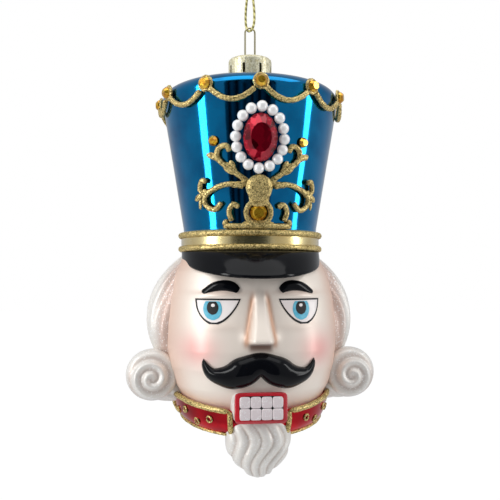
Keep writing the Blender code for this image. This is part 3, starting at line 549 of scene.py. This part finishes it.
def swept(rows, unit, radius, cap=0.2):
    share = 0.5 + math.asin(max(-1, min(1, unit.z))) / math.pi
    here = Vector(between(rows, share))
    ahead = (Vector(between(rows, min(1, share + 0.01))) - Vector(between(rows, max(0, share - 0.01)))).normalized()
    across = ahead.cross(Vector((0, 0, 1))).normalized()
    up = across.cross(ahead)
    close = min(1.0, math.hypot(unit.x, unit.y) / cap)
    angle = math.atan2(unit.y, unit.x)
    twist = 1 + 0.045 * math.cos(9 * angle + 14 * share)
    return here + (across * math.cos(angle) + up * math.sin(angle)) * radius * twist * close


finished("hair_roll", ball(120, 150, lambda unit: swept(ROLL, unit, 8.0)), HAIR)

for word, side in (("left", -1), ("right", 1)):
    tail = [(side * 32.5, -2.5, -118.4), (side * 29.0, -3.0, -118.8), (side * 24.0, -3.2, -119.0),
            (side * 18.0, -2.0, -119.2)]
    finished("curl_root_" + word, ball(60, 60, lambda unit, tail=tail: swept(tail, unit, 5.1)), HAIR)

# %% [markdown]
# Under the chin sits a red collar, lower at the front, that closes the glass below. A ball of vertices is
# flattened into a band whose top and bottom edges dip towards the beard; the glitter edging reads the same place.

# %% Collar
def on_collar(angle, down, lift=0.0, close=1.0):
    """A place on the collar: an angle from the front, and 0 at its top edge to 1 at its bottom edge."""
    ahead = max(0.0, math.cos(angle))
    top = -120.5 - 3.4 * ahead ** 1.5
    bottom = -128.3 - 3.3 * ahead
    radius = (25.5 - 0.5 * down - 2.2 * down ** 4 + lift) * close
    y = -radius * math.cos(angle) * (1.11 if math.cos(angle) > 0 else 1.0)
    return (radius * math.sin(angle), y, top + (bottom - top) * down)


def collar_place(unit):
    close = min(1.0, math.hypot(unit.x, unit.y) / 0.31)
    down = max(0.0, min(1.0, 0.5 - unit.z / 1.9))
    x, y, z = on_collar(math.atan2(unit.x, -unit.y), down, 0.0, close)
    return (x, y, z + (1.6 if unit.z > 0 else -1.8) * (1 - close))


finished("collar", ball(200, 60, collar_place), RED_GLASS)


# %% [markdown]
# The jaw block carries the painted mouth. The red frame, the dark ground and eight teeth are separate thin
# cushions, so that the dark shows as lines between them as the painter's lines do.

# %% Jaw, mouth and teeth
def cushion(centre, half, n=5.0, around=32, along=20):
    def place(unit):
        ring = max(1e-9, math.hypot(unit.x, unit.z))
        shape = (1 - min(1.0, abs(unit.y)) ** 3) ** (1 / 3)
        c, s = unit.x / ring, unit.z / ring
        scale = shape / (abs(c) ** n + abs(s) ** n) ** (1 / n)
        return (centre[0] + half[0] * c * scale, centre[1] + half[1] * unit.y, centre[2] + half[2] * s * scale)
    return ball(around, along, place, "y")


finished("jaw", cushion((0, -23.0, -122.1), (8.8, 7.0, 5.4), 5.0, 96, 60), HAIR)
finished("mouth_frame", cushion((0, -29.9, -122.1), (7.9, 0.9, 4.65), 9.0, 96, 24), RED_ENAMEL)
finished("mouth_ground", cushion((0, -30.55, -122.0), (6.5, 0.42, 3.55), 9.0, 96, 20), LINE_BLACK)
teeth = bmesh.new()
for middle, squareness in ((-120.3, 5.0), (-123.8, 7.0)):
    for column in range(4):
        bite = cushion((-4.86 + 3.24 * column, -30.85, middle), (1.59, 0.45, 1.7), squareness, 40, 16)
        spare = bpy.data.meshes.new("tooth")
        bite.to_mesh(spare)
        bite.free()
        teeth.from_mesh(spare)
        bpy.data.meshes.remove(spare)
finished("teeth", teeth, TEETH)

# %% [markdown]
# The beard is a short tapering tuft, combed in S-shaped locks.

# %% Beard
BEARD = [(-125.0, 9.3, 6.6), (-130.5, 9.9, 7.0), (-135.0, 9.6, 6.9), (-138.0, 8.5, 6.3), (-140.4, 6.5, 5.2),
         (-143.0, 3.9, 3.5), (-145.0, 0.9, 1.0)]


def beard_place(unit):
    ring = max(1e-9, math.hypot(unit.x, unit.y))
    share = 0.5 - math.asin(max(-1, min(1, unit.z))) / math.pi
    z, w, d = between(BEARD, share)
    close = min(1.0, ring / 0.22)
    return (w * power(unit.x / ring, 0.9) * close, -21.6 + d * power(unit.y / ring, 0.9) * close, z)


def locks(at):
    x, y, z = at
    w = max(3.0, 9.9 - max(0.0, -134.0 - z) * 0.45)
    lane = x / w * 4.2 + 0.9 * math.sin((z + 128.0) * 0.36)
    return 0.6 * (abs(math.cos(lane * math.pi / 1.55)) - 0.5) * blend_in(-z, 126.5, 130.0) * blend_in(z, -145.2, -142.5)


def beard_lock_shade(at):
    x, y, z = at
    w = max(3.0, 9.9 - max(0.0, -134.0 - z) * 0.45)
    lane = x / w * 4.2 + 0.9 * math.sin((z + 128.0) * 0.36)
    # painted shade in the grooves between the locks
    return mixed(("#C6B2A4", 0.6 * (1 - abs(math.cos(lane * math.pi / 1.55))) ** 2))


finished("beard", ruffled(ball(200, 130, beard_place), locks), HAIR, spray_and_shade=beard_lock_shade)


# %% [markdown]
# Moustache and brows are thick enamel rolls laid on the face. Each is a path of (x, z, half height, thickness),
# and its section follows the face under it.

# %% Moustache and brows
def laid_roll(name, rows, around=40, along=110):
    def place(unit):
        share = 0.5 + math.asin(max(-1, min(1, unit.z))) / math.pi
        x, z, half, thick = between(rows, share)
        x2, z2 = between(rows, min(1, share + 0.01))[:2]
        x1, z1 = between(rows, max(0, share - 0.01))[:2]
        long = max(1e-6, math.hypot(x2 - x1, z2 - z1))
        close = min(1.0, math.hypot(unit.x, unit.y) / 0.12)
        angle = math.atan2(unit.y, unit.x)
        off = half * math.cos(angle) * close
        px, pz = x - (z2 - z1) / long * off, z + (x2 - x1) / long * off
        rise = math.sin(angle) * close
        return (px, face_y(px, pz) + (thick * rise if rise < 0 else 0.8 * rise), pz)
    return finished(name, ball(around, along, place), ENAMEL)


HALF = [(16.8, -107.9, 0.25, 0.6), (16.3, -110.0, 1.0, 1.5), (14.6, -112.2, 1.9, 2.3), (12.0, -113.0, 2.8, 2.9),
        (8.6, -112.9, 4.0, 3.5), (4.8, -111.4, 4.5, 3.9)]
laid_roll("moustache", [(-x, z, h, t) for x, z, h, t in HALF] + [(0.0, -109.4, 3.6, 3.4)] + HALF[::-1])
ARCH = [(6.3, -87.7, 0.9, 0.6), (8.0, -86.5, 1.5, 0.9), (10.4, -86.0, 1.6, 1.0), (13.6, -86.5, 1.35, 0.9),
        (17.2, -88.2, 0.55, 0.6)]
for word, side in (("left", -1), ("right", 1)):
    laid_roll("brow_" + word, [(side * x, z, h, t) for x, z, h, t in ARCH], 24, 60)


# %% [markdown]
# The eyes are flat paint: a black outline, the white, the iris and the pupil, each a thin skin draped on the
# face a hair above the one below, as the painter laid them.

# %% Eyes
def skin(name, rows, lift, finish, columns=40):
    shape = bmesh.new()
    bmesh.ops.create_grid(shape, x_segments=columns, y_segments=40, size=1.0)
    for v in shape.verts:
        z, x1, x2 = between(rows, 0.5 - v.co.y / 2)
        x = x1 + (x2 - x1) * (v.co.x + 1) / 2
        v.co = Vector((x, face_y(x, z) - lift, z)) * MM
    kept = bmesh.ops.extrude_face_region(shape, geom=list(shape.faces), use_keep_orig=True)
    back = [g for g in kept["geom"] if isinstance(g, bmesh.types.BMVert)]
    bmesh.ops.translate(shape, vec=(0, (lift + 0.25) * MM, 0), verts=back)
    return finished(name, shape, finish)


LID = [(-90.5, 6.3, 18.6), (-91.5, 6.8, 18.5), (-92.8, 7.6, 18.3), (-94.2, 8.7, 17.8), (-95.4, 9.9, 17.0),
       (-96.4, 11.3, 15.9), (-97.1, 13.0, 14.5)]
for word, side, iris in (("left", -1, 14.0), ("right", 1, 12.9)):
    def sided(rows, grow=0.0):
        found = []
        for i, (z, a, b) in enumerate(rows):
            shift = grow * (1 - 2 * i / (len(rows) - 1))
            found.append((z + shift, *sorted((side * (a - grow * 1.2), side * (b + grow)))))
        return found
    skin("eye_outline_" + word, sided(LID, 0.5), 0.10, LINE_BLACK)
    skin("eye_white_" + word, sided(LID), 0.20, EYE_ENAMEL)
    rows = []
    for i in range(13):
        z = -90.8 - 5.6 * i / 12
        wide = 2.75 * math.sqrt(max(0.004, 1 - ((z + 93.1) / 3.32) ** 2))
        rows.append((z, iris - wide, iris + wide))
    skin("iris_" + word, sided(rows), 0.28, IRIS_ENAMEL)
    rows = []
    for i in range(13):
        z = -90.9 - 3.9 * i / 12
        wide = 1.7 * math.sqrt(max(0.006, 1 - ((z + 92.7) / 2.12) ** 2))
        rows.append((z, iris - wide, iris + wide))
    skin("pupil_" + word, sided(rows), 0.36, LINE_BLACK)
    rows = [(-92.0 - 0.5 * math.cos(math.pi * i / 6), iris - 0.1 - 0.55 * math.sin(math.pi * i / 6) - 0.02,
             iris - 0.1 + 0.55 * math.sin(math.pi * i / 6) + 0.02) for i in range(7)]
    skin("eye_light_" + word, sided(rows[::-1]), 0.46, EYE_ENAMEL, 12)

# %% [markdown]
# Glitter trim is piped glue, so it is lumpy. Each packed strand is copied, melted into one smooth skin by a
# voxel remesh, and roughened by fine noise.

# %% Glitter trim
def crusted(names, finish, voxel=0.24, rough=0.1, fat=0.2):
    for name in names:
        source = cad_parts[name]
        mesh = source.data.copy()
        mesh.materials.clear()
        piece = bpy.data.objects.new(name + "_piped", mesh)
        scene.collection.objects.link(piece)
        melt = piece.modifiers.new("melt", "REMESH")
        melt.mode = "VOXEL"
        melt.voxel_size = voxel * MM
        melt.use_smooth_shade = True
        ready = bpy.data.meshes.new_from_object(piece.evaluated_get(bpy.context.evaluated_depsgraph_get()))
        piece.data = ready
        piece.modifiers.clear()
        shape = bmesh.new()
        shape.from_mesh(ready)
        bmesh.ops.smooth_vert(shape, verts=shape.verts, factor=0.5, use_axis_x=True, use_axis_y=True,
                              use_axis_z=True)
        ruffled(shape, lambda at: fat + rough * (noise.noise(at * 2.6) + 0.6 * noise.noise(at * 1.1)))
        for face in shape.faces:
            face.smooth = True
        shape.to_mesh(ready)
        shape.free()
        ready.materials.clear()
        ready.materials.append(finish)
        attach(piece, "glass")
        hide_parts(name)


strands_of_glue = sorted(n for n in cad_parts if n.startswith(("swag_", "scroll_", "crest_column", "band_line")))
thin = [n for n in strands_of_glue if n.startswith("band_line")]
crusted([n for n in strands_of_glue if n not in thin], GLITTER)
crusted(thin, GLITTER, fat=0.1)
print("piped strands", len(strands_of_glue))


# %% [markdown]
# The piper lets the glue swell where strokes meet and end, so the crest has a pear-shaped boss, leaf-like pads
# and split ends. They are dabs of glue pressed on the hat; each is a small ball turned to face out of the glass.

# %% Dabs of glue
RIM_RADIUS, RIM_Z, TAPER = 29.4, -25.6, 0.169


def hat_radius(z):
    return RIM_RADIUS - TAPER * (RIM_Z - z)


def dab(shape, s, z, half_s, half_z, lean=0.0, thick=0.95):
    angle = s / hat_radius(z)

    def place(unit):
        a, b = half_s * unit.x, half_z * unit.z
        a, b = a * math.cos(lean) - b * math.sin(lean), a * math.sin(lean) + b * math.cos(lean)
        away = 0.35 + thick * (unit.y + 1) / 2
        away += 0.12 * noise.noise(unit * 6.0 + Vector((s, z, 0)))
        r = hat_radius(z + b) + away
        turn_here = angle + a / hat_radius(z)
        return (r * math.sin(turn_here), -r * math.cos(turn_here), z + b)

    extra = ball(22, 14, place)
    spare = bpy.data.meshes.new("dab")
    extra.to_mesh(spare)
    extra.free()
    shape.from_mesh(spare)
    bpy.data.meshes.remove(spare)


dabs = bmesh.new()
dab(dabs, 0.0, -56.6, 3.9, 3.9, thick=2.2)
dab(dabs, 0.0, -59.6, 3.0, 3.0, thick=1.8)
dab(dabs, 0.0, -67.6, 5.2, 1.5)
for side in (-1, 1):
    dab(dabs, side * 8.7, -50.8, 2.4, 1.5, side * 0.6)
    dab(dabs, side * 8.0, -49.6, 0.8, 1.3, side * -0.5)
    dab(dabs, side * 14.6, -46.6, 1.8, 0.8, side * 0.1)
    dab(dabs, side * 12.9, -46.8, 0.9, 1.2, side * 0.4)
    dab(dabs, side * 3.9, -54.6, 2.4, 1.0, side * 0.8)
    dab(dabs, side * 17.3, -57.6, 1.5, 1.1, side * -0.3)
    dab(dabs, side * 19.4, -58.9, 1.8, 0.85, side * -0.5)
    dab(dabs, side * 18.6, -61.0, 0.6, 1.6, side * 0.2)
    dab(dabs, side * 6.0, -55.6, 2.6, 0.95, side * -0.1)
    dab(dabs, side * 8.9, -67.9, 1.8, 0.75, side * -0.25)
    dab(dabs, side * 9.9, -66.9, 0.8, 1.1, side * 0.6)
finished("crest_dabs", dabs, GLITTER)


# %% [markdown]
# The collar is edged with the same glitter: a thick line along its top, uprights at both ends of each half, and
# small rings like buttons on the red.

# %% Collar glitter
def piped(shape, rows, radius, around=12, along=60):
    extra = ball(around, along, lambda unit: swept(rows, unit, radius + 0.12 * noise.noise(unit * 9.0)))
    spare = bpy.data.meshes.new("piped")
    extra.to_mesh(spare)
    extra.free()
    shape.from_mesh(spare)
    bpy.data.meshes.remove(spare)


edging = bmesh.new()
for side in (-1, 1):
    for down, radius in ((0.02, 0.85), (0.97, 0.5)):
        line = [on_collar(side * math.radians(a), down, 0.2) for a in range(20, 92, 6)]
        piped(edging, line, radius, 12, 90)
    for stop, radius in ((20.5, 0.8), (87, 0.7)):
        piped(edging, [on_collar(side * math.radians(stop), 0.03 + 0.155 * i, 0.2) for i in range(7)], radius)
    for stop, down in ((36, 0.45), (48, 0.68), (60, 0.4), (73, 0.62)):
        ring = []
        for i in range(13):
            t = math.tau * i / 12
            ring.append(on_collar(side * (math.radians(stop) + 0.034 * math.cos(t)), down + 0.11 * math.sin(t), 0.2))
        piped(edging, ring, 0.32, 8, 40)
edging_piece = finished("collar_edging", edging, GLITTER)
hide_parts("collar_trim_left", "collar_trim_right")

# %% [markdown]
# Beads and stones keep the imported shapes; the beads are made round again, and the stones keep their facets.

# %% Beads, stones and metal
for name in sorted(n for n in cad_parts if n.startswith("pearl_")):
    low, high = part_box(name)
    middle = (low + high) / 2 / MM
    radius = max(high - low) / 2 / MM
    bead = ball(28, 18, lambda unit: middle + unit * radius * 1.15)
    piece = finished(name + "_bead", bead, BEADS)
    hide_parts(name)
for name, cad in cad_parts.items():
    finish = None
    if name == "ruby_gem":
        finish = RUBY
    elif "stone" in name:
        finish = AMBER
    elif name == "cap":
        finish = CAP_METAL
    elif name == "hanger_wire":
        finish = WIRE_STEEL
    elif name == "thread_knot":
        finish = THREAD
    if finish:
        cad.data.materials.clear()
        cad.data.materials.append(finish)

# %% [markdown]
# Mirror glass shows the room more than its own colour. A white room with soft lamps at both sides and a dark
# card in front gives the hat its dark middle and bright flanks, and leaves the face evenly lit.

# %% Room and lamps
world = bpy.data.worlds.new("room")
scene.world = world
world.use_nodes = True
tree = world.node_tree
tree.nodes.clear()
rays = node(tree, "ShaderNodeLightPath")
seen = node(tree, "ShaderNodeMath", operation="MAXIMUM")
tree.links.new(rays.outputs["Is Camera Ray"], seen.inputs[0])
tree.links.new(rays.outputs["Is Transmission Ray"], seen.inputs[1])
lit = node(tree, "ShaderNodeBackground", {"Color": linear("#F4F6FA"), "Strength": 0.52})
white = node(tree, "ShaderNodeBackground", {"Color": linear("#FFFFFF"), "Strength": 1.0})
both = node(tree, "ShaderNodeMixShader", links={0: seen.outputs[0], 1: lit.outputs[0], 2: white.outputs[0]})
node(tree, "ShaderNodeOutputWorld", links={"Surface": both.outputs[0]})


def lamp(name, place, aim, size, watts):
    data = bpy.data.lights.new(name, "AREA")
    data.shape = "RECTANGLE"
    data.size, data.size_y = size
    data.energy = watts
    made = bpy.data.objects.new(name, data)
    made.location = place
    made.rotation_euler = (Vector(aim) - Vector(place)).to_track_quat("-Z", "Y").to_euler()
    scene.collection.objects.link(made)


lamp("left_softbox", (-0.46, -0.17, 0.02), (0, 0, -0.08), (0.1, 0.5), 1.5)
lamp("right_softbox", (0.46, -0.14, 0.0), (0, 0, -0.08), (0.08, 0.5), 0.8)
lamp("top_softbox", (0.0, -0.14, 0.38), (0, 0, -0.08), (0.7, 0.3), 1.0)


def card(name, place, aim, size, shade):
    made, tree = material(name)
    path = node(tree, "ShaderNodeLightPath")
    clear = node(tree, "ShaderNodeBsdfTransparent")
    spot = node(tree, "ShaderNodeTexCoord")
    long = node(tree, "ShaderNodeMapping", {"Scale": (16.0, 6.0, 1.2)}, {"Vector": spot.outputs["Object"]})
    fold = node(tree, "ShaderNodeTexNoise", {"Scale": 1.0, "Detail": 2.0}, {"Vector": long.outputs[0]})
    ramp = node(tree, "ShaderNodeValToRGB", links={"Fac": fold.outputs[0]})
    ramp.color_ramp.elements[0].color = linear(shade)
    ramp.color_ramp.elements[0].position = 0.42
    ramp.color_ramp.elements[1].color = linear("#56626C")
    ramp.color_ramp.elements[1].position = 0.7
    dark = node(tree, "ShaderNodeEmission", {"Strength": 1.0}, {"Color": ramp.outputs[0]})
    mix = node(tree, "ShaderNodeMixShader",
               links={0: path.outputs["Is Glossy Ray"], 1: clear.outputs[0], 2: dark.outputs[0]})
    node(tree, "ShaderNodeOutputMaterial", links={"Surface": mix.outputs[0]})
    shape = bmesh.new()
    bmesh.ops.create_grid(shape, x_segments=1, y_segments=1, size=0.5)
    bmesh.ops.scale(shape, vec=(size[0], size[1], 1), verts=shape.verts)
    face = (Vector(aim) - Vector(place)).to_track_quat("Z", "Y").to_matrix().to_4x4()
    bmesh.ops.transform(shape, matrix=Matrix.Translation(place) @ face, verts=shape.verts)
    mesh = bpy.data.meshes.new(name)
    shape.to_mesh(mesh)
    shape.free()
    mesh.materials.append(made)
    piece = bpy.data.objects.new(name, mesh)
    piece.visible_camera = False
    piece.visible_diffuse = False
    piece.visible_shadow = False
    scene.collection.objects.link(piece)


card("front_dark_card", (-0.05, -0.5, -0.03), (0, 0, -0.05), (0.62, 0.9), "#07090C")

FLOOR, tree = material("pale_matt_floor_paint")
place = node(tree, "ShaderNodeTexCoord")
grain = node(tree, "ShaderNodeTexNoise", {"Scale": 40.0}, {"Vector": place.outputs["Object"]})
ramp = node(tree, "ShaderNodeValToRGB", links={"Fac": grain.outputs[0]})
ramp.color_ramp.elements[0].color = linear("#F6F6F6")
ramp.color_ramp.elements[1].color = linear("#FBFBFB")
path = node(tree, "ShaderNodeLightPath")
matt = node(tree, "ShaderNodeBsdfDiffuse", links={"Color": ramp.outputs[0]})
glow = node(tree, "ShaderNodeEmission", {"Strength": 1.08})
share = node(tree, "ShaderNodeMath", {1: 0.9}, {0: path.outputs["Is Camera Ray"]}, operation="MULTIPLY")
mix = node(tree, "ShaderNodeMixShader", links={0: share.outputs[0], 1: matt.outputs[0], 2: glow.outputs[0]})
node(tree, "ShaderNodeOutputMaterial", links={"Surface": mix.outputs[0]})
shape = bmesh.new()
bmesh.ops.create_circle(shape, cap_ends=True, segments=96, radius=8.0)
bmesh.ops.translate(shape, vec=(0, 0, -0.5), verts=shape.verts)
mesh = bpy.data.meshes.new("floor")
shape.to_mesh(mesh)
shape.free()
mesh.materials.append(FLOOR)
floor = bpy.data.objects.new("floor", mesh)
scene.collection.objects.link(floor)
